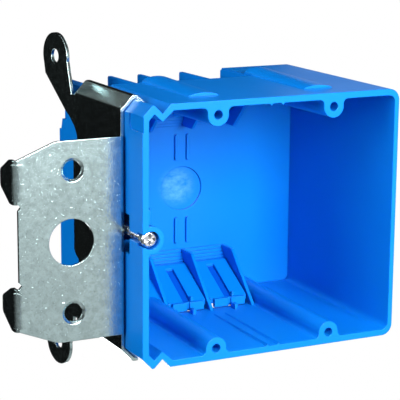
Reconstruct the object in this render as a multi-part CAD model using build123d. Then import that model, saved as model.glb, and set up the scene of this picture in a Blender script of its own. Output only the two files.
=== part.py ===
# Two-gang adjustable switch box: a moulded plastic box that slides in a folded
# steel stud bracket and is set forward or back by one long adjusting screw.
#
# Frame: X to the right, Y into the wall, Z up. The origin is the centre of the
# four device-screw bosses, on the plane of the open rim. Units are millimetres.

import math
import os

from build123d import *

# Overall sizes of the moulded box
BOX_WIDTH = 102.0
BOX_HEIGHT = 92.6
BOX_DEPTH = 76.0
BOX_LEFT = -51.5
BOX_MID_Z = 0.3
BACK_THICKNESS = 2.0
WALL_LEFT = 2.4
WALL_RIGHT = 1.8
WALL_TOP = 2.3
CORNER_RADIUS = 4.2
INNER_DRAFT = 0.9

# Rail along each left edge: an outer chamfer, a peak and a V-shaped groove
RAIL_CHAMFER = 4.0
RAIL_PEAK_WIDTH = 0.8
RAIL_PEAK_DROP = 0.2
GROOVE_DEPTH = 3.2
GROOVE_WIDTH = 6.2

# Device-screw bosses, on the standard two-gang pattern
DEVICE_PITCH_X = 46.02
DEVICE_PITCH_Z = 83.34
BOSS_RADIUS = 4.0
BOSS_FLARE = 1.8
BOSS_DRAFT = 0.8
DEVICE_BORE = 3.3
DEVICE_BORE_DEPTH = 24.0

# Rounded ridges on the outside, over the bosses, rising towards the back
RIDGE_WIDTH = 12.4
RIDGE_FRONT_RISE = 1.25
RIDGE_BACK_RISE = 2.4
RIDGE_START = 11.5
RIDGE_END = 57.0
RIDGE_ROOT = 0.4

# Divider ridges in the middle of the top and bottom walls
DIVIDER_PITCH = 4.6
DIVIDER_HEIGHT = 0.9
DIVIDER_BASE = 1.6
DIVIDER_LENGTH = 42.0

# Cable ports along the back of the top and bottom walls
WEB_THICKNESS = 1.3
WEB_PLACES = (-48.6, -31.0, -18.6, -0.8, 17.2)
PORT_BAYS = ((0, 1), (2, 3), (3, 4))
PORT_LENGTH = 25.4
PORT_LEDGE_DROP = 19.3
PORT_BLOCK_SETBACK = 1.7
WEB_INNER_DROP = 21.4
WEB_INNER_LENGTH = 11.2
WEB_FOOT_LENGTH = 29.1
FLAP_HINGE_SETBACK = 7.0
FLAP_HINGE_DROP = 16.7
FLAP_TIP_SETBACK = 25.0
FLAP_TIP_DROP = 6.5
FLAP_THICKNESS = 1.7
FLAP_WIDTH = 15.7
FLAP_GROOVE_WIDTH = 3.3
FLAP_GROOVE_DEPTH = 1.1
FLAP_GROOVE_LENGTH = 18.2
FOOT_THICKNESS = 1.5
FOOT_WIDTH = 13.2
FOOT_SPLIT = 1.3
FLAP_NUB = 1.0
FLAP_NUB_SHIFT = 2.3
CLAMP_STEPS = 4
CLAMP_STEP_RISE = 1.25
CLAMP_STEP_DEPTH = 0.65
STOP_TAB_WIDTH = 1.3
STOP_TAB_LENGTH = 3.0
STOP_TAB_HEIGHT = 2.6
STOP_TAB_SHIFT = 0.5

# Marks moulded on the inside of the back wall
MARKS_X = -1.2
GATE_DIAMETER = 17.5
GATE_DEPTH = 0.7
BACK_RIB_LENGTH = 10.4
BACK_RIB_PITCH = 5.0
BACK_RIB_WIDTH = 1.3
BACK_RIB_HEIGHT = 1.0
BACK_RIB_OFFSET = 16.7

# Adjusting screw and its channel in the left wall
SCREW_X = -48.3
SCREW_HEAD_DIAMETER = 5.8
SCREW_HEAD_LENGTH = 3.2
SCREW_HEAD_FRONT = 1.2
SCREW_SHANK_DIAMETER = 4.0
SCREW_LENGTH = 58.0
SCREW_RECESS_WIDTH = 1.1
SCREW_RECESS_DEPTH = 1.3
SCREW_BOSS_RADIUS = 4.9
HEAD_BORE_CLEARANCE = 0.3
SHANK_CLEARANCE = 0.1
CHANNEL_START = 11.0
CHANNEL_BEYOND_TIP = 1.8
CHANNEL_HALF_HEIGHT = 7.0
CHANNEL_DEPTH = 7.1
CHANNEL_WALL = 1.4
CHANNEL_CORNER = (1.3, 2.6)
HEAD_SLIT = 4.8
SCREW_SLIT = 2.8
RETAINER_WALL = 0.65
RETAINER_THICKNESS = 0.9
RETAINER_CLEARANCE = 0.2
RETAINER_BORE_GAP = 0.05

# Shallow pad sunk in the left wall, at the upper front corner
PAD_LENGTH = 11.0
PAD_HEIGHT = 5.4
PAD_CORNER = 2.5
PAD_DEPTH = 0.4

# Folded steel bracket
SHEET = 1.2
BEND_RADIUS = 0.4
BRACKET_GAP = 0.25
FLANGE_FRONT = 13.8
FLANGE_REACH = 39.2
FLANGE_HEIGHT = 70.6
FLANGE_DROP = 1.5
FLANGE_SHOULDER = 13.8
FLANGE_SLOPE = 5.5
FLANGE_CORNER = 9.0
FLANGE_NECK_HEIGHT = 26.5
STUD_HOLE = 6.6
STUD_HOLE_PITCH = 50.2
STUD_HOLE_FROM_PLATE = 19.5
STUD_HOLE_RIM = 8.4
STUD_RIM_DEPTH = 0.6
SIGHT_HOLE = 16.4
SIGHT_HOLE_FROM_PLATE = 20.1
TAB_HEIGHT = 15.1
TAB_SHOULDER = 2.4
TAB_LENGTH = 11.4
TAB_END_HEIGHT = 5.8
TAB_CORNER = 2.0
PLATE_BACK = 58.8
CLIP_LENGTH = 42.0
HOOK_LENGTH = 3.2
ARM_RADIUS = 8.6
ARM_BEND_Y = 57.0
ARM_ANGLE = 9.0
ARM_REACH = 14.0
ARM_RISE = 9.0
ARM_ROOTS = (30.5, 24.6)
NAIL_HOLE = 5.3
LUG_FRONT = 25.5
LUG_HALF_HEIGHT = 5.5
LUG_EDGE = 1.3
LUG_CLEARANCE = 0.1

# Places worked out from the sizes above
BOX_RIGHT = BOX_LEFT + BOX_WIDTH
HALF_HEIGHT = BOX_HEIGHT / 2
BACK_INNER = BOX_DEPTH - BACK_THICKNESS
PORT_FRONT = BOX_DEPTH - PORT_LENGTH
PORT_LEDGE = HALF_HEIGHT - PORT_LEDGE_DROP
PORT_BLOCK_Y = BOX_DEPTH - PORT_BLOCK_SETBACK
WEB_INNER_TOP = HALF_HEIGHT - WEB_INNER_DROP
WEB_INNER_FRONT = BOX_DEPTH - WEB_INNER_LENGTH
WEB_FOOT_FRONT = BOX_DEPTH - WEB_FOOT_LENGTH
FLAP_HINGE_Y = BOX_DEPTH - FLAP_HINGE_SETBACK
FLAP_HINGE_Z = HALF_HEIGHT - FLAP_HINGE_DROP
FLAP_TIP_Y = BOX_DEPTH - FLAP_TIP_SETBACK
FLAP_TIP_Z = HALF_HEIGHT - FLAP_TIP_DROP
DEVICE_PLACES = [
    (sx * DEVICE_PITCH_X / 2, sz * DEVICE_PITCH_Z / 2) for sx in (-1, 1) for sz in (-1, 1)
]
PLATE_INNER_X = BOX_LEFT - BRACKET_GAP
PLATE_OUTER_X = PLATE_INNER_X - SHEET
FLANGE_MID_Z = BOX_MID_Z - FLANGE_DROP
FLANGE_LEFT = PLATE_INNER_X - FLANGE_REACH
STUD_HOLE_X = PLATE_INNER_X - STUD_HOLE_FROM_PLATE
SIGHT_HOLE_X = PLATE_INNER_X - SIGHT_HOLE_FROM_PLATE
PLATE_FRONT = FLANGE_FRONT + SHEET
BEND_OUTSIDE = BEND_RADIUS + SHEET
PLATE_HALF = HALF_HEIGHT - RAIL_CHAMFER
HEAD_BORE = SCREW_HEAD_DIAMETER + 2 * HEAD_BORE_CLEARANCE
HEAD_BACK = SCREW_HEAD_FRONT + SCREW_HEAD_LENGTH
SHANK_BORE = SCREW_SHANK_DIAMETER + 2 * SHANK_CLEARANCE
SCREW_TIP = SCREW_HEAD_FRONT + SCREW_LENGTH
CHANNEL_END = SCREW_TIP + CHANNEL_BEYOND_TIP
LUG_REACH = SCREW_SHANK_DIAMETER / 2 + LUG_CLEARANCE + LUG_EDGE
ARM_HEIGHT = HALF_HEIGHT + ARM_RISE
ALONG_Y = (0, 1, 0)


def rim_plane(y):
    """Sketch plane across the box at depth y: local axes are X and Z."""
    return Plane(origin=(0, y, 0), x_dir=(1, 0, 0), z_dir=(0, -1, 0))


def side_plane(x):
    """Sketch plane along the box at place x: local axes are Y and Z."""
    return Plane(origin=(x, 0, 0), x_dir=(0, 1, 0), z_dir=(1, 0, 0))


def prism_y(sketch, y_start, y_end):
    """Extrude a sketch in X and Z from one depth to another."""
    return extrude(rim_plane(y_start) * sketch, y_end - y_start, dir=ALONG_Y)


def prism_x(sketch, x_start, x_end):
    """Extrude a sketch in Y and Z from one X place to another."""
    return extrude(side_plane(x_start) * sketch, x_end - x_start, dir=(1, 0, 0))


def block(x_range, y_range, z_range):
    """Rectangular block between three pairs of limits."""
    size = [b - a for a, b in (x_range, y_range, z_range)]
    middle = [(a + b) / 2 for a, b in (x_range, y_range, z_range)]
    return Pos(*middle) * Box(*size)


def rod_y(x, z, radius, y_start, y_end):
    """Round rod along Y."""
    return prism_y(Pos(x, z) * Circle(radius), y_start, y_end)


def mirrored(shape):
    """The same shape on the other side of the box's mid-height."""
    return mirror(shape, Plane.XY.offset(BOX_MID_Z))


def upper(points):
    """Points given from the mid-height, moved to the real height."""
    return [(a, BOX_MID_Z + b) for a, b in points]


def rail_points():
    """Outside of the box's upper left corner, from the side wall to the top."""
    half = HALF_HEIGHT
    peak_x = BOX_LEFT + RAIL_CHAMFER - RAIL_PEAK_WIDTH / 2
    groove_x = peak_x + RAIL_PEAK_WIDTH + GROOVE_WIDTH / 2
    return [
        (BOX_LEFT, half - RAIL_CHAMFER),
        (peak_x, half - RAIL_PEAK_DROP),
        (peak_x + RAIL_PEAK_WIDTH, half - RAIL_PEAK_DROP),
        (groove_x, half - GROOVE_DEPTH),
        (groove_x + GROOVE_WIDTH / 2, half),
    ]


def outer_outline():
    """Outside of the box across its rim, with a rail at each left corner."""
    half = HALF_HEIGHT
    left = rail_points()
    points = left + [(BOX_RIGHT, half), (BOX_RIGHT, -half)]
    points += [(x, -z) for x, z in reversed(left)]
    face = make_face(Polyline(*upper(points), close=True))
    right = face.vertices().sort_by(Axis.X)[-2:]
    return fillet(right, CORNER_RADIUS)


def inner_outline(draft):
    """Inside of the box, with the four bosses left standing and their flares."""
    top = HALF_HEIGHT - WALL_TOP - draft
    right = BOX_RIGHT - WALL_RIGHT - draft
    left = BOX_LEFT + WALL_LEFT
    peak_x = BOX_LEFT + RAIL_CHAMFER + RAIL_PEAK_WIDTH / 2
    groove_x = peak_x + GROOVE_WIDTH / 2
    profile = [
        (left, top - WALL_LEFT - 0.6),
        (peak_x, top - 0.9),
        (groove_x, top - GROOVE_DEPTH - 0.4),
        (groove_x + GROOVE_WIDTH / 2 + 1.0, top),
    ]
    points = profile + [(right, top), (right, -top)]
    points += [(x, -z) for x, z in reversed(profile)]
    face = make_face(Polyline(*upper(points), close=True))
    corners = face.vertices().sort_by(Axis.X)[-2:]
    face = fillet(corners, CORNER_RADIUS - WALL_RIGHT)
    radius = BOSS_RADIUS + draft * BOSS_DRAFT
    for x, z in DEVICE_PLACES:
        side = 1 if z > 0 else -1
        face -= Pos(x, z) * Circle(radius)
        face -= Pos(x, z + side * HALF_HEIGHT / 2) * Rectangle(2 * radius, HALF_HEIGHT)
    feet = [v for v in face.vertices() if is_boss_foot(v, top, radius)]
    side_length = top - BOX_MID_Z - DEVICE_PITCH_Z / 2
    return fillet(feet, min(BOSS_FLARE, 0.9 * side_length))


def is_boss_foot(vertex, top, radius):
    """True where the side of a boss meets the top or bottom wall."""
    x, z = vertex.X, vertex.Y - BOX_MID_Z
    beside = abs(abs(x) - DEVICE_PITCH_X / 2)
    return abs(beside - radius) < 0.05 and abs(abs(z) - top) < 0.05


def box_shell():
    """Walls and back, with the cavity drafted towards the back."""
    body = prism_y(outer_outline(), 0, BOX_DEPTH)
    front = rim_plane(0) * inner_outline(0)
    back = rim_plane(BACK_INNER) * inner_outline(INNER_DRAFT)
    return body - loft([front.face(), back.face()], ruled=True)


def boss_ridge(x):
    """Rounded ridge outside the top wall, higher at its rear end."""
    base = BOX_MID_Z + HALF_HEIGHT - RIDGE_ROOT
    ends = []
    for y, rise in ((RIDGE_START, RIDGE_FRONT_RISE), (RIDGE_END, RIDGE_BACK_RISE)):
        height = rise + RIDGE_ROOT
        swell = Pos(x, base) * Ellipse(RIDGE_WIDTH / 2, height)
        upper_part = Pos(x, base + height) * Rectangle(2 * RIDGE_WIDTH, 2 * height)
        ends.append((rim_plane(y) * (swell & upper_part)).face())
    return loft(ends, ruled=True)


def divider(x):
    """Small triangular ridge on the inside of the top wall."""
    top = BOX_MID_Z + HALF_HEIGHT - WALL_TOP
    section = make_face(
        Polyline(
            (x - DIVIDER_BASE / 2, top + 0.3),
            (x, top - DIVIDER_HEIGHT),
            (x + DIVIDER_BASE / 2, top + 0.3),
            close=True,
        )
    )
    return prism_y(section, 0, DIVIDER_LENGTH)


def port_outer_profile():
    """Outside of the slanted port wall, from the wall's rear edge to the back."""
    slope = (FLAP_TIP_Z - FLAP_HINGE_Z) / (FLAP_HINGE_Y - FLAP_TIP_Y)
    rise = FLAP_THICKNESS / math.cos(math.atan(slope))
    return [
        (PORT_FRONT, FLAP_TIP_Z + rise),
        (FLAP_TIP_Y, FLAP_TIP_Z + rise),
        (FLAP_HINGE_Y, FLAP_HINGE_Z + rise),
        (PORT_BLOCK_Y - 1.3, FLAP_HINGE_Z + rise - 0.4),
        (PORT_BLOCK_Y, PORT_LEDGE),
        (BOX_DEPTH, PORT_LEDGE),
    ]


def port_cut(x_start, x_end):
    """Space outside the flaps, open to the top and to the back."""
    beyond = BOX_DEPTH + 5
    above = HALF_HEIGHT + 9
    profile = [(PORT_FRONT, above)] + port_outer_profile()
    profile += [(beyond, PORT_LEDGE), (beyond, above)]
    return prism_x(make_face(Polyline(*upper(profile), close=True)), x_start, x_end)


def port_web(x):
    """Upright web beside a port, from the slanted inner edge to the outside."""
    outer = HALF_HEIGHT - 0.2
    profile = [
        (WEB_FOOT_FRONT, HALF_HEIGHT - WALL_TOP - 0.6),
        (WEB_INNER_FRONT, WEB_INNER_TOP),
        (BACK_INNER + 0.5, WEB_INNER_TOP),
        (BOX_DEPTH, PORT_LEDGE - 0.5),
        (BOX_DEPTH, outer - 0.9),
        (BOX_DEPTH - 0.6, outer - 0.3),
        (PORT_FRONT, outer),
        (WEB_FOOT_FRONT, outer),
    ]
    face = make_face(Polyline(*upper(profile), close=True))
    return prism_x(face, x - WEB_THICKNESS / 2, x + WEB_THICKNESS / 2)


def port_wall(x_start, x_end):
    """Slanted wall that closes a bay with no cable clamp."""
    inner = [
        (PORT_FRONT - 2, HALF_HEIGHT - 0.5),
        (PORT_FRONT - 2, FLAP_TIP_Z),
        (FLAP_TIP_Y, FLAP_TIP_Z),
        (FLAP_HINGE_Y, FLAP_HINGE_Z),
        (PORT_BLOCK_Y - 3, FLAP_HINGE_Z),
        (PORT_BLOCK_Y - 2, WEB_INNER_TOP),
        (BOX_DEPTH, WEB_INNER_TOP),
    ]
    outer = [(PORT_FRONT, HALF_HEIGHT - 0.5)] + port_outer_profile()
    face = make_face(Polyline(*upper(inner + outer[::-1]), close=True))
    return prism_x(face, x_start, x_end)


def clamp_block(x_start, x_end):
    """Stepped block that carries a flap, between the webs of a port."""
    steps = []
    y, z = BACK_INNER, WEB_INNER_TOP
    for _ in range(CLAMP_STEPS):
        y -= CLAMP_STEP_DEPTH
        steps += [(y, z), (y, z + CLAMP_STEP_RISE)]
        z += CLAMP_STEP_RISE
    outer = port_outer_profile()[-3:]
    outline = [(BOX_DEPTH, WEB_INNER_TOP)] + steps
    outline += [(y - 1.2, z), (y - 1.4, outer[0][1] + 0.1)] + outer
    face = make_face(Polyline(*upper(outline), close=True))
    return prism_x(face, x_start, x_end)


def flap_groove(x_mid):
    """Groove along the middle of a flap's inner face."""
    run, drop = FLAP_HINGE_Y - FLAP_TIP_Y, FLAP_HINGE_Z - FLAP_TIP_Z
    length = math.hypot(run, drop)
    along = (run / length, drop / length)
    outward = (-along[1], along[0])

    def place(distance, depth):
        """Point at a distance up the flap and a depth below its inner face."""
        return (
            FLAP_TIP_Y + distance * along[0] + depth * outward[0],
            FLAP_TIP_Z + distance * along[1] + depth * outward[1],
        )

    profile = [
        place(0, -1),
        place(FLAP_GROOVE_LENGTH + 1, -1),
        place(FLAP_GROOVE_LENGTH, FLAP_GROOVE_DEPTH),
        place(0, FLAP_GROOVE_DEPTH),
    ]
    face = make_face(Polyline(*upper(profile), close=True))
    return prism_x(face, x_mid - FLAP_GROOVE_WIDTH / 2, x_mid + FLAP_GROOVE_WIDTH / 2)


def clamp_flap(x_mid):
    """Flap with a grooved face, a split foot and a small nub."""
    outer = port_outer_profile()
    foot_front = FLAP_TIP_Y - FOOT_THICKNESS
    foot_end = HALF_HEIGHT - WALL_TOP - INNER_DRAFT
    plate = [
        (PORT_BLOCK_Y - 2, FLAP_HINGE_Z - 0.2),
        (FLAP_HINGE_Y, FLAP_HINGE_Z),
        (FLAP_TIP_Y, FLAP_TIP_Z),
        outer[1],
        outer[2],
        (PORT_BLOCK_Y - 2, outer[2][1] - 0.4),
    ]
    face = make_face(Polyline(*upper(plate), close=True))
    flap = prism_x(face, x_mid - FLAP_WIDTH / 2, x_mid + FLAP_WIDTH / 2)
    flap -= flap_groove(x_mid)
    foot_z = (BOX_MID_Z + FLAP_TIP_Z, BOX_MID_Z + foot_end)
    foot_x = (x_mid - FOOT_WIDTH / 2, x_mid + FOOT_WIDTH / 2)
    flap += block(foot_x, (foot_front, FLAP_TIP_Y + 0.1), foot_z)
    split_x = (x_mid - FOOT_SPLIT / 2, x_mid + FOOT_SPLIT / 2)
    flap -= block(split_x, (foot_front - 1, foot_front + FOOT_THICKNESS / 2), foot_z)
    nub_x = x_mid + FLAP_NUB_SHIFT
    return flap + block(
        (nub_x - FLAP_NUB / 2, nub_x + FLAP_NUB / 2),
        (FLAP_TIP_Y + 0.4, FLAP_TIP_Y + 0.4 + FLAP_NUB),
        (foot_z[0] - 0.6 - FLAP_NUB, foot_z[0]),
    )


def stop_tab(x_mid):
    """Small upright tab on the wall, in front of a flap's foot."""
    floor = BOX_MID_Z + HALF_HEIGHT - WALL_TOP
    back = FLAP_TIP_Y - FOOT_THICKNESS - 1.4
    middle = x_mid + STOP_TAB_SHIFT
    return block(
        (middle - STOP_TAB_WIDTH / 2, middle + STOP_TAB_WIDTH / 2),
        (back - STOP_TAB_LENGTH, back),
        (floor - STOP_TAB_HEIGHT, floor + 0.5),
    )


def ported_wall(body):
    """Cut the ports from the top wall and add webs, clamps and closed bays."""
    body -= port_cut(BOX_LEFT - 1, WEB_PLACES[-1])
    for left, right in zip(WEB_PLACES, WEB_PLACES[1:]):
        if (WEB_PLACES.index(left), WEB_PLACES.index(right)) in PORT_BAYS:
            middle = (left + right) / 2
            body += clamp_block(left, right)
            body += clamp_flap(middle)
            body += stop_tab(middle)
        else:
            body += port_wall(left, right)
    webs = Part() + [port_web(x) for x in WEB_PLACES]
    return body + (webs & prism_y(outer_outline(), 0, BOX_DEPTH))


def back_marks():
    """Ribs raised on the inside of the back wall, above and below the gate."""
    marks = Part()
    for side_x in (-1, 1):
        for side_z in (-1, 1):
            place = Pos(MARKS_X + side_x * BACK_RIB_PITCH / 2, side_z * BACK_RIB_OFFSET)
            rib = place * Rot(0, 0, 90) * SlotOverall(BACK_RIB_LENGTH, BACK_RIB_WIDTH)
            marks += prism_y(rib, BACK_INNER - BACK_RIB_HEIGHT, BACK_INNER + 0.5)
    return marks


def screw_channel(body):
    """Boss, head bore and side channel for the adjusting screw."""
    boss = rod_y(SCREW_X, 0, SCREW_BOSS_RADIUS, 0, CHANNEL_START)
    limit = block((BOX_LEFT, 0), (-1, BOX_DEPTH), (-HALF_HEIGHT, HALF_HEIGHT))
    housing_x = BOX_LEFT + CHANNEL_DEPTH + CHANNEL_WALL
    housing_z = CHANNEL_HALF_HEIGHT + CHANNEL_WALL
    front, back = CHANNEL_START - CHANNEL_WALL, CHANNEL_END + CHANNEL_WALL
    plan = make_face(
        Polyline(
            (BOX_LEFT, front),
            (housing_x - CHANNEL_CORNER[0], front),
            (housing_x, front + CHANNEL_CORNER[1]),
            (housing_x, back),
            (BOX_LEFT, back),
            close=True,
        )
    )
    body += boss & limit
    body += extrude(Plane.XY.offset(-housing_z) * plan, 2 * housing_z)
    body -= block(
        (BOX_LEFT - 1, BOX_LEFT + CHANNEL_DEPTH),
        (CHANNEL_START, CHANNEL_END),
        (-CHANNEL_HALF_HEIGHT, CHANNEL_HALF_HEIGHT),
    )
    body -= rod_y(SCREW_X, 0, HEAD_BORE / 2, -1, HEAD_BACK)
    body -= rod_y(SCREW_X, 0, SHANK_BORE / 2, 0, CHANNEL_START + 1)
    for width, y_end in ((HEAD_SLIT, HEAD_BACK), (SCREW_SLIT, CHANNEL_START + 1)):
        body -= block((BOX_LEFT - 1, SCREW_X), (-1, y_end), (-width / 2, width / 2))
    return body


def wall_pad():
    """Shallow sunk pad on the outside of the left wall."""
    top = BOX_MID_Z + HALF_HEIGHT - RAIL_CHAMFER
    outline = Pos(0, top) * Rectangle(2 * PAD_LENGTH, 2 * PAD_HEIGHT)
    outline = fillet(outline.vertices(), PAD_CORNER)
    outline &= Pos(PAD_LENGTH, top - PAD_HEIGHT) * Rectangle(2 * PAD_LENGTH, 2 * PAD_HEIGHT)
    return prism_x(outline, BOX_LEFT - 1, BOX_LEFT + PAD_DEPTH)


def make_box():
    """The moulded box, one solid."""
    body = box_shell()
    for x in (-DEVICE_PITCH_X / 2, DEVICE_PITCH_X / 2):
        body += boss_ridge(x)
        body += mirrored(boss_ridge(x))
    body = ported_wall(body)
    body = mirrored(ported_wall(mirrored(body)))
    for side in (-1, 1):
        ridge = divider(side * DIVIDER_PITCH / 2)
        body += ridge
        body += mirrored(ridge)
    body += back_marks()
    body -= rod_y(MARKS_X, 0, GATE_DIAMETER / 2, BACK_INNER - 1, BACK_INNER + GATE_DEPTH)
    body = screw_channel(body) - wall_pad()
    for x, z in DEVICE_PLACES:
        body -= rod_y(x, z, DEVICE_BORE / 2, -1, DEVICE_BORE_DEPTH)
    return body


def flange_outline():
    """Front flange in X and Z, without its bent tabs."""
    half = FLANGE_HEIGHT / 2
    neck = FLANGE_NECK_HEIGHT / 2
    upper_half = [
        (PLATE_INNER_X - BEND_OUTSIDE, half),
        (FLANGE_LEFT + FLANGE_SHOULDER, half),
        (FLANGE_LEFT, half - FLANGE_SLOPE),
        (FLANGE_LEFT, neck + 1.4),
        (FLANGE_LEFT + 1.0, neck + 0.4),
        (FLANGE_LEFT, neck - 0.8),
    ]
    points = upper_half + [(x, -z) for x, z in reversed(upper_half)]
    face = make_face(Polyline(*[(x, z + FLANGE_MID_Z) for x, z in points], close=True))
    corner_x = FLANGE_LEFT + FLANGE_SHOULDER
    corners = [v for v in face.vertices() if abs(v.X - corner_x) < 0.1]
    return fillet(corners, FLANGE_CORNER)


def bend(corner_x, corner_y, turn):
    """Quarter ring in X and Y that joins two legs of the sheet."""
    ring = Circle(BEND_OUTSIDE) - Circle(BEND_RADIUS)
    quarter = Pos(BEND_OUTSIDE / 2, -BEND_OUTSIDE / 2) * Rectangle(BEND_OUTSIDE, BEND_OUTSIDE)
    return Pos(corner_x, corner_y) * Rot(0, 0, turn) * (ring & quarter)


def edge_tab(side):
    """Tapered tab bent back from the left edge of the flange."""
    neck = FLANGE_NECK_HEIGHT / 2 + 1.4
    middle = FLANGE_MID_Z + side * (neck + TAB_HEIGHT / 2)
    root_y = FLANGE_FRONT + BEND_OUTSIDE
    outer_x = FLANGE_LEFT - BEND_OUTSIDE
    corner = bend(FLANGE_LEFT, root_y, -90)
    curve = extrude(Plane.XY.offset(middle - TAB_HEIGHT / 2) * corner, TAB_HEIGHT)
    lower_half = [
        (root_y, -TAB_HEIGHT / 2),
        (root_y + TAB_SHOULDER, -TAB_HEIGHT / 2),
        (root_y + TAB_LENGTH, -TAB_END_HEIGHT / 2),
    ]
    points = lower_half + [(y, -z) for y, z in reversed(lower_half)]
    leg = make_face(Polyline(*[(y, middle + z) for y, z in points], close=True))
    ends = leg.vertices().sort_by(Axis.X)[2:]
    return curve + prism_x(fillet(ends, TAB_CORNER), outer_x, outer_x + SHEET)


def plate_outline():
    """Side plate in Y and Z, from the flange bend to its back edge."""
    flange_top = FLANGE_MID_Z + FLANGE_HEIGHT / 2
    flange_low = FLANGE_MID_Z - FLANGE_HEIGHT / 2
    high, low = (BOX_MID_Z + side * PLATE_HALF for side in (1, -1))
    root_high, root_low = ARM_ROOTS
    arm_low = 2 * BOX_MID_Z - root_low
    points = [
        (FLANGE_FRONT + BEND_OUTSIDE, flange_top),
        (PLATE_FRONT, flange_top),
        (PLATE_FRONT, high),
        (ARM_BEND_Y, high),
        (ARM_BEND_Y, root_high),
        (ARM_BEND_Y - 2.0, root_high - 2.7),
        (ARM_BEND_Y - 2.0, root_high - 5.5),
        (PLATE_BACK, root_high - 11.5),
        (PLATE_BACK, arm_low + 8.4),
        (PLATE_BACK - 1.5, arm_low + 6.6),
        (ARM_BEND_Y - 2.5, arm_low + 5.4),
        (ARM_BEND_Y - 2.5, arm_low + 3.0),
        (ARM_BEND_Y, arm_low),
        (ARM_BEND_Y, low),
        (PLATE_FRONT, low),
        (PLATE_FRONT, flange_low),
        (FLANGE_FRONT + BEND_OUTSIDE, flange_low),
    ]
    return make_face(Polyline(*points, close=True))


def arm(root):
    """Rear arm with its round end, bent outwards; root is its inner edge."""
    low = root - BOX_MID_Z - ARM_HEIGHT
    web = make_face(
        Polyline(
            (0, low),
            (0, PLATE_HALF - ARM_HEIGHT),
            (2.5, PLATE_HALF - ARM_HEIGHT),
            (ARM_REACH - ARM_RADIUS, -1.5),
            (ARM_REACH, 0),
            (ARM_REACH + ARM_RADIUS * 0.94, -ARM_RADIUS * 0.34),
            (ARM_REACH + ARM_RADIUS * 0.84, -ARM_RADIUS * 0.82),
            (ARM_REACH - ARM_RADIUS * 0.79, -ARM_RADIUS * 2.23),
            (3.6, low + 3.5),
            close=True,
        )
    )
    face = web + Pos(ARM_REACH, 0) * Circle(ARM_RADIUS)
    face -= Pos(ARM_REACH, 0) * Circle(NAIL_HOLE / 2)
    solid = extrude(side_plane(0) * face, SHEET, dir=(-1, 0, 0))
    return Pos(PLATE_INNER_X, ARM_BEND_Y, BOX_MID_Z + ARM_HEIGHT) * Rot(0, 0, ARM_ANGLE) * solid


def rail_clip():
    """Strip and hook that follow the box's upper rail at the bracket's gap."""
    foot, peak, crest, groove = rail_points()[:4]
    share = HOOK_LENGTH / math.dist(crest, groove)
    tip = tuple(a + (b - a) * share for a, b in zip(crest, groove))
    line = Polyline(*upper([(BOX_LEFT, foot[1] - 3), foot, peak, crest, tip]))
    strip = make_face(offset(line, BRACKET_GAP + SHEET, side=Side.LEFT))
    strip -= make_face(offset(line, BRACKET_GAP, side=Side.LEFT))
    return prism_y(strip, PLATE_FRONT, PLATE_FRONT + CLIP_LENGTH)


def lug():
    """Threaded lug, bent inwards from the side plate across the screw."""
    start_x = PLATE_INNER_X + BEND_RADIUS
    corner = bend(start_x, LUG_FRONT - BEND_RADIUS, 180)
    leg_x = (start_x, SCREW_X + LUG_REACH)
    heights = (-LUG_HALF_HEIGHT, LUG_HALF_HEIGHT)
    solid = extrude(Plane.XY.offset(-LUG_HALF_HEIGHT) * corner, 2 * LUG_HALF_HEIGHT)
    solid += block(leg_x, (LUG_FRONT, LUG_FRONT + SHEET), heights)
    return solid - rod_y(SCREW_X, 0, SCREW_SHANK_DIAMETER / 2 + LUG_CLEARANCE, 0, BOX_DEPTH)


def lug_window():
    """Hole left in the side plate by the lug."""
    start = LUG_FRONT - BEND_RADIUS
    length = (BEND_RADIUS + BEND_OUTSIDE) * math.pi / 4
    length += SCREW_X + LUG_REACH - PLATE_INNER_X - BEND_RADIUS
    return block(
        (PLATE_OUTER_X - 1, PLATE_INNER_X + 1),
        (start, start + length),
        (-LUG_HALF_HEIGHT, LUG_HALF_HEIGHT),
    )


def stud_holes():
    """Two rimmed stud holes and the sight hole, cut through the flange."""
    holes = rod_y(SIGHT_HOLE_X, FLANGE_MID_Z, SIGHT_HOLE / 2, 0, BOX_DEPTH / 4)
    for side in (-1, 1):
        z = FLANGE_MID_Z + side * STUD_HOLE_PITCH / 2
        holes += rod_y(STUD_HOLE_X, z, STUD_HOLE / 2, 0, BOX_DEPTH / 4)
        rim = Pos(STUD_HOLE_X, FLANGE_FRONT + STUD_RIM_DEPTH / 2, z) * Rot(90, 0, 0)
        holes += rim * Cone(STUD_HOLE / 2, STUD_HOLE_RIM / 2, STUD_RIM_DEPTH)
    return holes


def make_bracket():
    """The folded steel bracket, one solid."""
    low = FLANGE_MID_Z - FLANGE_HEIGHT / 2
    corner = bend(PLATE_INNER_X - BEND_OUTSIDE, FLANGE_FRONT + BEND_OUTSIDE, 0)
    body = prism_y(flange_outline(), FLANGE_FRONT, FLANGE_FRONT + SHEET)
    body += extrude(Plane.XY.offset(low) * corner, FLANGE_HEIGHT)
    body -= stud_holes()
    body += edge_tab(1)
    body += edge_tab(-1)
    body += prism_x(plate_outline(), PLATE_OUTER_X, PLATE_INNER_X) - lug_window()
    body += lug()
    body += arm(ARM_ROOTS[0])
    body += mirrored(arm(ARM_ROOTS[1]))
    clip = rail_clip()
    body += clip
    body += mirrored(clip)
    return body


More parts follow.
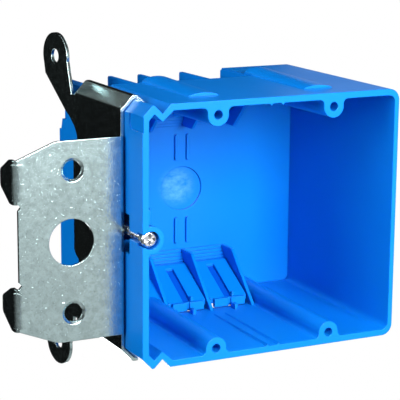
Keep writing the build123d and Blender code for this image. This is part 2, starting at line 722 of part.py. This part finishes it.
def make_screw():
    """Adjusting screw with a pan head and a crossed recess."""
    body = rod_y(SCREW_X, 0, SCREW_HEAD_DIAMETER / 2, SCREW_HEAD_FRONT, HEAD_BACK)
    body = fillet(body.edges().group_by(Axis.Y)[0], 0.8)
    body += rod_y(SCREW_X, 0, SCREW_SHANK_DIAMETER / 2, HEAD_BACK - 0.1, SCREW_TIP)
    body = chamfer(body.edges().group_by(Axis.Y)[-1], 0.8)
    arm_length = SCREW_HEAD_DIAMETER * 0.36
    for long_x, long_z in ((arm_length, SCREW_RECESS_WIDTH / 2), (SCREW_RECESS_WIDTH / 2, arm_length)):
        body -= block(
            (SCREW_X - long_x, SCREW_X + long_x),
            (SCREW_HEAD_FRONT - 1, SCREW_HEAD_FRONT + SCREW_RECESS_DEPTH),
            (-long_z, long_z),
        )
    return body


def make_retainer():
    """Push-on ring that holds the screw behind its boss."""
    start = CHANNEL_START + RETAINER_CLEARANCE
    bore = SCREW_SHANK_DIAMETER / 2 + RETAINER_BORE_GAP
    ring = Pos(SCREW_X, 0) * (Circle(bore + RETAINER_WALL) - Circle(bore))
    return prism_y(ring, start, start + RETAINER_THICKNESS)


PARTS = {
    "box": make_box,
    "bracket": make_bracket,
    "adjusting_screw": make_screw,
    "screw_retainer": make_retainer,
}


def main():
    """Write one STEP file for each piece."""
    os.makedirs("parts", exist_ok=True)
    for name, make in PARTS.items():
        export_step(make(), f"parts/{name}.step")


if __name__ == "__main__":
    main()
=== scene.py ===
import math

import bmesh
import bpy
from mathutils import Matrix, Vector


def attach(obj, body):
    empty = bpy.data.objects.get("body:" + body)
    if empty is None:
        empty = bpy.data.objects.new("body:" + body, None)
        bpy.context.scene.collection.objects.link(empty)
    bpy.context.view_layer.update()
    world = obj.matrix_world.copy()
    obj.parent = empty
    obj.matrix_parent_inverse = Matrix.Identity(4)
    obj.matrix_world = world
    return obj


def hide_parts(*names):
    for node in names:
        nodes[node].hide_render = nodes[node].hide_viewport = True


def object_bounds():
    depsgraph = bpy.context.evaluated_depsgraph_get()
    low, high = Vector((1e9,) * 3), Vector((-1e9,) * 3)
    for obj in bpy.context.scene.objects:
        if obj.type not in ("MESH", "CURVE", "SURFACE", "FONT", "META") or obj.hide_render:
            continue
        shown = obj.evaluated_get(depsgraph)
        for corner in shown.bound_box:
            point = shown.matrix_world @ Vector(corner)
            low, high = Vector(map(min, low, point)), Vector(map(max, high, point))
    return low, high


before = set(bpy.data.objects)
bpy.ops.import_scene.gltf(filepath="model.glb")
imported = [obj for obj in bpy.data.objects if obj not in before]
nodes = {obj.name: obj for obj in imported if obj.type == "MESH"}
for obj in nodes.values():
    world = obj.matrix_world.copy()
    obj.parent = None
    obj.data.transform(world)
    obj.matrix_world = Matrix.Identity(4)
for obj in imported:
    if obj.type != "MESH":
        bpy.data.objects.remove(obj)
cad_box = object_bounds()

# Lengths named below are in millimetres, or in metres for the studio, and angles in degrees
MM = 0.001

# Camera, fitted to the photograph's 400 x 400 frame
CAMERA_PLACE = (-263.3, -467.6, 126.3)
CAMERA_AZIMUTH = -26.53
CAMERA_ELEVATION = 12.28
CAMERA_ROLL = 0.42
FOCAL_PIXELS = 1556.2
FRAME_PIXELS = 400
SENSOR = 36.0
CLIP_NEAR = 10
CLIP_FAR = 50000


def add_object(name, data):
    thing = bpy.data.objects.new(name, data)
    bpy.context.scene.collection.objects.link(thing)
    return thing


def direction(azimuth, elevation):
    """From the object towards a place at these angles, where nought is the open front."""
    a, e = math.radians(azimuth), math.radians(elevation)
    return Vector((math.sin(a) * math.cos(e), -math.cos(a) * math.cos(e), math.sin(e)))


def add_camera():
    azimuth = math.radians(CAMERA_AZIMUTH)
    roll = math.radians(CAMERA_ROLL)
    back = direction(CAMERA_AZIMUTH, CAMERA_ELEVATION)
    right = Vector((math.cos(azimuth), math.sin(azimuth), 0))
    up = back.cross(right)
    turned_right = right * math.cos(roll) + up * math.sin(roll)
    turned_up = up * math.cos(roll) - right * math.sin(roll)
    data = bpy.data.cameras.new("camera")
    data.sensor_width = SENSOR
    data.lens = FOCAL_PIXELS * SENSOR / FRAME_PIXELS
    data.clip_start = CLIP_NEAR * MM
    data.clip_end = CLIP_FAR * MM
    camera = add_object("camera", data)
    turn = Matrix((turned_right, turned_up, back)).transposed().to_4x4()
    camera.matrix_world = Matrix.Translation(Vector(CAMERA_PLACE) * MM) @ turn
    bpy.context.scene.camera = camera


WHITE = (1.0, 1.0, 1.0)
BEVEL_SAMPLES = 6
# Samples of the ambient occlusion that paints shade into the plastic's inside corners
CORNER_SHADE_SAMPLES = 8


def grey(level):
    return (level, level, level)


class Nodes:
    """Node tree of a material or world. A value is a number, a colour or a node's output."""

    def __init__(self, owner):
        self.owner = owner
        owner.use_nodes = True
        self.tree = owner.node_tree
        self.tree.nodes.clear()
        self.place = self.add("ShaderNodeTexCoord").outputs

    def feed(self, socket, value):
        """Link an output to an input, or set the input itself."""
        if isinstance(value, bpy.types.NodeSocket):
            self.tree.links.new(value, socket)
        else:
            socket.default_value = value

    def add(self, kind, **values):
        """New node, with its settings in small letters and its inputs in capitals."""
        node = self.tree.nodes.new(kind)
        for key, value in values.items():
            if hasattr(node, key):
                setattr(node, key, value)
            else:
                self.feed(node.inputs[key.replace("_", " ")], value)
        return node

    def axes(self, source="Object"):
        """Outputs X, Y and Z of a texture coordinate."""
        return self.add("ShaderNodeSeparateXYZ", Vector=self.place[source]).outputs

    def maths(self, operation, *values, kind="ShaderNodeMath"):
        node = self.add(kind, operation=operation)
        for socket, value in zip(node.inputs, values):
            self.feed(socket, value)
        return node.outputs["Value"]

    def noise(self, scale, detail=2.0, roughness=0.5, stretch=None):
        where = self.place["Object"]
        if stretch:
            where = self.add("ShaderNodeMapping", Vector=where, Scale=stretch).outputs["Vector"]
        node = self.add(
            "ShaderNodeTexNoise", Vector=where, Scale=scale, Detail=detail, Roughness=roughness
        )
        return node.outputs["Fac"]

    def ramp(self, source, *stops):
        """Colour ramp through stops of a place and its colour."""
        node = self.add("ShaderNodeValToRGB", Fac=source)
        elements = node.color_ramp.elements
        while len(elements) < len(stops):
            elements.new(0.5)
        for element, (where, colour) in zip(elements, stops):
            element.position = where
            element.color = (*colour, 1.0)
        return node.outputs["Color"]

    def span(self, source, low, high, start=0.3, end=0.7, kind="LINEAR"):
        """Low at the source's start and high at its end, which suit a noise."""
        node = self.add(
            "ShaderNodeMapRange",
            interpolation_type=kind,
            Value=source,
            From_Min=start,
            From_Max=end,
            To_Min=low,
            To_Max=high,
        )
        return node.outputs["Result"]

    def mix(self, a, b, share=1.0, blend="MIX"):
        """Colour a, with b over it by a share that is a number or a mask."""
        node = self.add("ShaderNodeMix", data_type="RGBA", blend_type=blend)
        # Sockets by number, because their names repeat for each kind of value
        for slot, value in ((0, share), (6, a), (7, b)):
            self.feed(node.inputs[slot], value)
        return node.outputs[2]

    def multiply(self, a, b, share=1.0):
        return self.mix(a, b, share, "MULTIPLY")


class Surface(Nodes):
    """Material with one main shader."""

    def __init__(self, name):
        super().__init__(bpy.data.materials.new(name))
        self.shader = self.add("ShaderNodeBsdfPrincipled")
        self.body = self.shader.outputs["BSDF"]
        self.out = self.add("ShaderNodeOutputMaterial", Surface=self.body)

    def finish(self, **values):
        """Set or link the shader's inputs."""
        for key, value in values.items():
            self.feed(self.shader.inputs[key.replace("_", " ")], value)

    def finish_normal(self, relief, height, strength, edge):
        """Bump from a texture over edges rounded by a small radius."""
        rounded = self.add("ShaderNodeBevel", samples=BEVEL_SAMPLES, Radius=edge)
        bump = self.add(
            "ShaderNodeBump",
            Distance=height,
            Strength=strength,
            Height=relief,
            Normal=rounded.outputs["Normal"],
        )
        self.finish(Normal=bump.outputs["Normal"])


# Clamp flaps: middles across the box, and the plane of their inner faces in Y and Z
FLAP_MIDDLES = (-39.8, -9.7, 8.2)
FLAP_TIP = (51.0, 39.8)
FLAP_OUTWARD = (0.493, 0.870)
BOX_MID_Z = 0.3

# Grooves in the flaps, whose floors get painted shade: depth of the floor, the band that counts
# as floor, and half sizes
GROOVE_FLOOR = 1.1
GROOVE_BAND = 0.25
GROOVE_HALF_LENGTH = 8.6
GROOVE_HALF_WIDTH = 1.66


def groove_shade_mask(m):
    """Mask of painted shade: one on the floor of the grooves in the clamp flaps, nought
    elsewhere.
    """
    axes = m.axes()
    tip_y, tip_z = FLAP_TIP
    out_y, out_z = FLAP_OUTWARD
    height = m.maths("ABSOLUTE", m.maths("SUBTRACT", axes["Z"], BOX_MID_Z * MM))
    rise = m.maths("MULTIPLY_ADD", height, out_z, -tip_z * out_z * MM)
    run = m.maths("MULTIPLY_ADD", axes["Y"], out_y, -tip_y * out_y * MM)
    depth = m.maths("ADD", rise, run)
    floor = m.maths("COMPARE", depth, GROOVE_FLOOR * MM, GROOVE_BAND * MM)
    middle_y = tip_y + GROOVE_HALF_LENGTH
    along = m.maths("COMPARE", axes["Y"], middle_y * MM, GROOVE_HALF_LENGTH * MM)
    across = 0.0
    for middle in FLAP_MIDDLES:
        one = m.maths("COMPARE", axes["X"], middle * MM, GROOVE_HALF_WIDTH * MM)
        across = m.maths("ADD", one, across)
    return m.maths("MULTIPLY", m.maths("MULTIPLY", floor, along), across)


BLUE_DEEP = (0.001, 0.18, 0.655)
BLUE_LIGHT = (0.002, 0.196, 0.695)
# Painted shade: darker colour multiplied onto the floors of the grooves
GROOVE_PAINTED_SHADE = (0.3, 0.42, 0.72, 1.0)
# Painted shade in inside corners from ambient occlusion, and how far the occlusion looks
CORNER_PAINTED_SHADE = (0.5, 0.5, 0.75)
CORNER_SHADE_REACH = 2.0

# Pale frosted patch on the disc in the middle of the back wall
FROST_TONE = (0.14, 0.46, 0.8, 1.0)
FROST_MIDDLE = (-3.1, 74.3, 1.0)
FROST_OUTER = 9.5
FROST_CORE = 3.0
FROST_MOST = 0.6


def frost_mask(m):
    """Share of frost, on the wall's inner face only, which looks towards the opening."""
    middle = Vector(FROST_MIDDLE) * MM
    away = m.maths("DISTANCE", m.place["Object"], middle, kind="ShaderNodeVectorMath")
    near = m.span(away, 0.0, 1.0, FROST_OUTER * MM, FROST_CORE * MM, "SMOOTHSTEP")
    cloud = m.noise(300, detail=5.0, roughness=0.7, stretch=(1.0, 1.0, 1.6))
    share = m.maths("MULTIPLY", near, m.span(cloud, 0.0, FROST_MOST))
    inner = m.maths("LESS_THAN", m.axes("Normal")["Y"], 0.0)
    return m.maths("MULTIPLY", share, inner)


def moulded_plastic():
    m = Surface("moulded_plastic")
    blue = m.ramp(m.noise(22, detail=3.0), (0.3, BLUE_DEEP), (0.7, BLUE_LIGHT))
    blue = m.mix(blue, FROST_TONE, frost_mask(m))
    # Painted shade: ambient occlusion darkens the colour in inside corners, and the floors of
    # the grooves are darkened too
    corner_shade = m.add(
        "ShaderNodeAmbientOcclusion", samples=CORNER_SHADE_SAMPLES, Distance=CORNER_SHADE_REACH * MM
    )
    depth = m.ramp(corner_shade.outputs["AO"], (0.25, CORNER_PAINTED_SHADE), (0.75, WHITE))
    blue = m.multiply(blue, depth)
    blue = m.multiply(blue, GROOVE_PAINTED_SHADE, groove_shade_mask(m))
    streak = m.noise(45, detail=1.0, stretch=(1.0, 0.5, 1.0))
    rough = m.span(streak, 0.28, 0.32)
    m.finish(Base_Color=blue, Roughness=rough, IOR=1.5, Specular_IOR_Level=0.2)
    m.finish_normal(m.noise(1400), height=0.06 * MM, strength=0.25, edge=0.4 * MM)
    return m.owner


# Edge tabs of the bracket: their middles above and below the flange's middle
FLANGE_MID_Z = -1.2
TAB_MIDDLE = 22.2
TAB_HALF = 6.4

# The tabs' fold, softened from one X to the other, and the radius of every other edge
FOLD_START_X = -87.5
FOLD_END_X = -89.0
FOLD_RADIUS = 2.7
EDGE_RADIUS = 0.3

ZINC_DEEP = (0.5, 0.655, 0.66)
ZINC_LIGHT = (0.56, 0.72, 0.725)
SPANGLE_SCALE = 420
PITS_TO_GRAIN = 1.2


def fold_radius(m):
    """Radius of the sheet's edges, larger where the edge tabs turn back from the flange."""
    axes = m.axes()
    fold = m.span(axes["X"], 0.0, FOLD_RADIUS * MM, FOLD_START_X * MM, FOLD_END_X * MM)
    level = m.maths("ABSOLUTE", m.maths("SUBTRACT", axes["Z"], FLANGE_MID_Z * MM))
    beside = m.maths("COMPARE", level, TAB_MIDDLE * MM, TAB_HALF * MM)
    return m.maths("MULTIPLY_ADD", fold, beside, EDGE_RADIUS * MM)


def zinc_sheet():
    m = Surface("galvanised_sheet")
    cloud = m.noise(45, detail=4.0, roughness=0.6)
    tone = m.ramp(cloud, (0.3, ZINC_DEEP), (0.7, ZINC_LIGHT))
    spangle = m.add("ShaderNodeTexVoronoi", Vector=m.place["Object"], Scale=SPANGLE_SCALE)
    cell = m.ramp(spangle.outputs["Color"], (0.2, grey(0.95)), (0.8, WHITE))
    speck = m.noise(1300, roughness=0.6)
    specks = m.ramp(speck, (0.3, grey(0.45)), (0.4, WHITE))
    mottle = m.noise(480, detail=3.0, roughness=0.6)
    mottle = m.ramp(mottle, (0.38, grey(0.86)), (0.58, WHITE))
    tone = m.multiply(tone, cell)
    tone = m.multiply(tone, specks, 0.5)
    tone = m.multiply(tone, mottle)
    rough = m.span(m.noise(600, detail=3.0, roughness=0.6), 0.175, 0.25)
    m.finish(Base_Color=tone, Roughness=rough, Metallic=1.0)
    # Sparse pits over the fine grain catch the light as small specks
    pits = m.ramp(m.noise(1500, detail=1.0), (0.74, grey(0.0)), (0.82, WHITE))
    relief = m.maths("MULTIPLY_ADD", pits, PITS_TO_GRAIN, speck)
    m.finish_normal(relief, height=0.1 * MM, strength=0.5, edge=fold_radius(m))
    return m.owner


def bright_plating(name, tone):
    m = Surface(name)
    spots = m.noise(900, detail=3.0)
    dim = tuple(0.8 * c for c in tone)
    colour = m.ramp(spots, (0.3, dim), (0.6, tone))
    m.finish(Base_Color=colour, Roughness=m.span(spots, 0.16, 0.32), Metallic=1.0)
    m.finish_normal(spots, height=0.04 * MM, strength=0.3, edge=0.15 * MM)
    return m.owner


# Adjusting screw: the CAD head with a real thread behind it
SCREW_X = -48.3
SCREW_HEAD_BACK = 4.4
SCREW_TIP = 59.2
HEAD_DISH = 0.1
THREAD_START = SCREW_HEAD_BACK - 0.05
THREAD_PITCH = 0.794
THREAD_CREST = 2.0
THREAD_ROOT = 1.62
THREAD_TIP = THREAD_ROOT - 0.3
THREAD_SIDES = 28
RINGS_PER_TURN = 4
CREST_GAIN = 1.25
TOUCHING = 0.001


def thread_radius(y, side):
    """Radius of the thread's flank, with flat crests and a tapered tip."""
    phase = (y / THREAD_PITCH - side / THREAD_SIDES) % 1.0
    crest = 1 - abs(2 * phase - 1)
    radius = THREAD_ROOT + (THREAD_CREST - THREAD_ROOT) * min(1.0, crest * CREST_GAIN)
    return min(radius, THREAD_TIP + (SCREW_TIP - y))


def cut_off_shank(build):
    """Delete the plain shank and close the head's back, clear of the box's seat."""
    start = THREAD_START * MM
    shank = [f for f in build.faces if f.calc_center_median().y > start]
    bmesh.ops.delete(build, geom=shank, context="FACES")
    back = SCREW_HEAD_BACK * MM
    rim = [e for e in build.edges if all(abs(v.co.y - back) < TOUCHING * MM for v in e.verts)]
    middle = build.verts.new((SCREW_X * MM, back - HEAD_DISH * MM, 0))
    for edge in rim:
        build.faces.new((*edge.verts, middle))


def add_thread(build):
    length = SCREW_TIP - THREAD_START
    rings = int(length / THREAD_PITCH) * RINGS_PER_TURN
    rows = []
    for ring in range(rings + 1):
        row = []
        for side in range(THREAD_SIDES):
            angle = 2 * math.pi * side / THREAD_SIDES
            y = THREAD_START + length * ring / rings
            radius = thread_radius(y, side)
            place = Vector((SCREW_X + radius * math.cos(angle), y, radius * math.sin(angle)))
            row.append(build.verts.new(place * MM))
        rows.append(row)
    for first, second in zip(rows, rows[1:]):
        for side in range(THREAD_SIDES):
            after = (side + 1) % THREAD_SIDES
            build.faces.new((first[side], second[side], second[after], first[after]))
    build.faces.new(rows[0])
    build.faces.new(list(reversed(rows[-1])))


def coat(mesh, material):
    mesh.materials.clear()
    mesh.materials.append(material)


def threaded_screw(material):
    mesh = nodes["adjusting_screw"].data.copy()
    build = bmesh.new()
    build.from_mesh(mesh)
    cut_off_shank(build)
    add_thread(build)
    bmesh.ops.recalc_face_normals(build, faces=build.faces)
    build.to_mesh(mesh)
    build.free()
    coat(mesh, material)
    piece = add_object("threaded_screw", mesh)
    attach(piece, "screw")
    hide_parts("adjusting_screw")


# Studio, in metres: pale floor well below the object, white surround for the camera
FLOOR_DROP = 0.5
FLOOR_HALF = 0.8


def add_floor():
    build = bmesh.new()
    bmesh.ops.create_grid(build, x_segments=1, y_segments=1, size=FLOOR_HALF)
    mesh = bpy.data.meshes.new("studio_floor")
    build.to_mesh(mesh)
    build.free()
    floor = add_object("studio_floor", mesh)
    floor.location = (0, 0, cad_box[0].z - FLOOR_DROP)
    m = Surface("pale_floor")
    tone = m.ramp(m.noise(3), (0.3, grey(0.5)), (0.7, grey(0.54)))
    m.finish(Base_Color=tone, Roughness=0.9)
    paths = m.add("ShaderNodeLightPath").outputs
    glow = m.add("ShaderNodeEmission", Strength=paths["Is Camera Ray"])
    together = m.add("ShaderNodeAddShader")
    m.feed(together.inputs[0], m.body)
    m.feed(together.inputs[1], glow.outputs["Emission"])
    m.feed(m.out.inputs["Surface"], together.outputs["Shader"])
    coat(mesh, m.owner)


# Grey levels of the room, by place from its dark back at nought to its bright front at one
ROOM_FRONT = (-0.1, -1.0, 0.1)
ROOM_LIGHT = ((0.0, 0.003), (0.45, 0.006), (0.62, 0.03), (1.0, 0.056))


def add_world():
    """World that is white for the camera and lit from the room's front for the object."""
    world = bpy.data.worlds.new("studio")
    bpy.context.scene.world = world
    w = Nodes(world)
    front = Vector(ROOM_FRONT).normalized()
    facing = w.maths("DOT_PRODUCT", w.place["Generated"], front, kind="ShaderNodeVectorMath")
    share = w.span(facing, 0.0, 1.0, -1.0, 1.0)
    level = w.ramp(share, *((where, grey(light)) for where, light in ROOM_LIGHT))
    paths = w.add("ShaderNodeLightPath").outputs
    seen = w.mix(level, (*WHITE, 1.0), paths["Is Camera Ray"])
    back = w.add("ShaderNodeBackground", Color=seen)
    w.add("ShaderNodeOutputWorld", Surface=back.outputs["Background"])


# Lamps: name, azimuth, elevation, distance, width and height, power in watts
LAMPS = (
    ("key", 4, 21, 0.5, (0.25, 0.25), 5.3),
    ("left", -80, 20, 1.0, (0.5, 0.5), 7.2),
    ("over", 0, 80, 1.1, (0.6, 0.4), 1.3),
    ("card", 27, -10, 1.2, (1.1, 0.8), 1.66),
    ("sheen", 141, 9, 1.4, (0.42, 0.26), 0.155),
    ("strip", -172, 26, 1.4, (0.5, 0.22), 0.07),
    ("fold", -50, -12, 1.2, (1.0, 0.4), 0.4),
    ("back_right", 118, 30, 1.2, (0.6, 0.6), 3.9),
    ("back_left", -112, 42, 1.2, (0.5, 0.5), 2.4),
    ("back_low", 165, -24, 1.0, (0.4, 0.3), 2.0),
)
LAMP_TARGET = (0, 0.03, 0)


def add_lamp(name, azimuth, elevation, distance, size, power):
    away = direction(azimuth, elevation)
    data = bpy.data.lights.new(name, "AREA")
    data.shape = "RECTANGLE"
    data.size, data.size_y = size
    data.energy = power
    lamp = add_object(name, data)
    lamp.location = Vector(LAMP_TARGET) + away * distance
    lamp.rotation_mode = "QUATERNION"
    lamp.rotation_quaternion = away.to_track_quat("Z", "Y")


add_camera()
coat(nodes["box"].data, moulded_plastic())
coat(nodes["bracket"].data, zinc_sheet())
coat(nodes["screw_retainer"].data, bright_plating("plated_ring", (0.66, 0.68, 0.7)))
threaded_screw(bright_plating("plated_screw", (0.78, 0.8, 0.82)))

add_floor()
add_world()
for lamp in LAMPS:
    add_lamp(*lamp)

bpy.context.scene.view_settings.view_transform = "Standard"
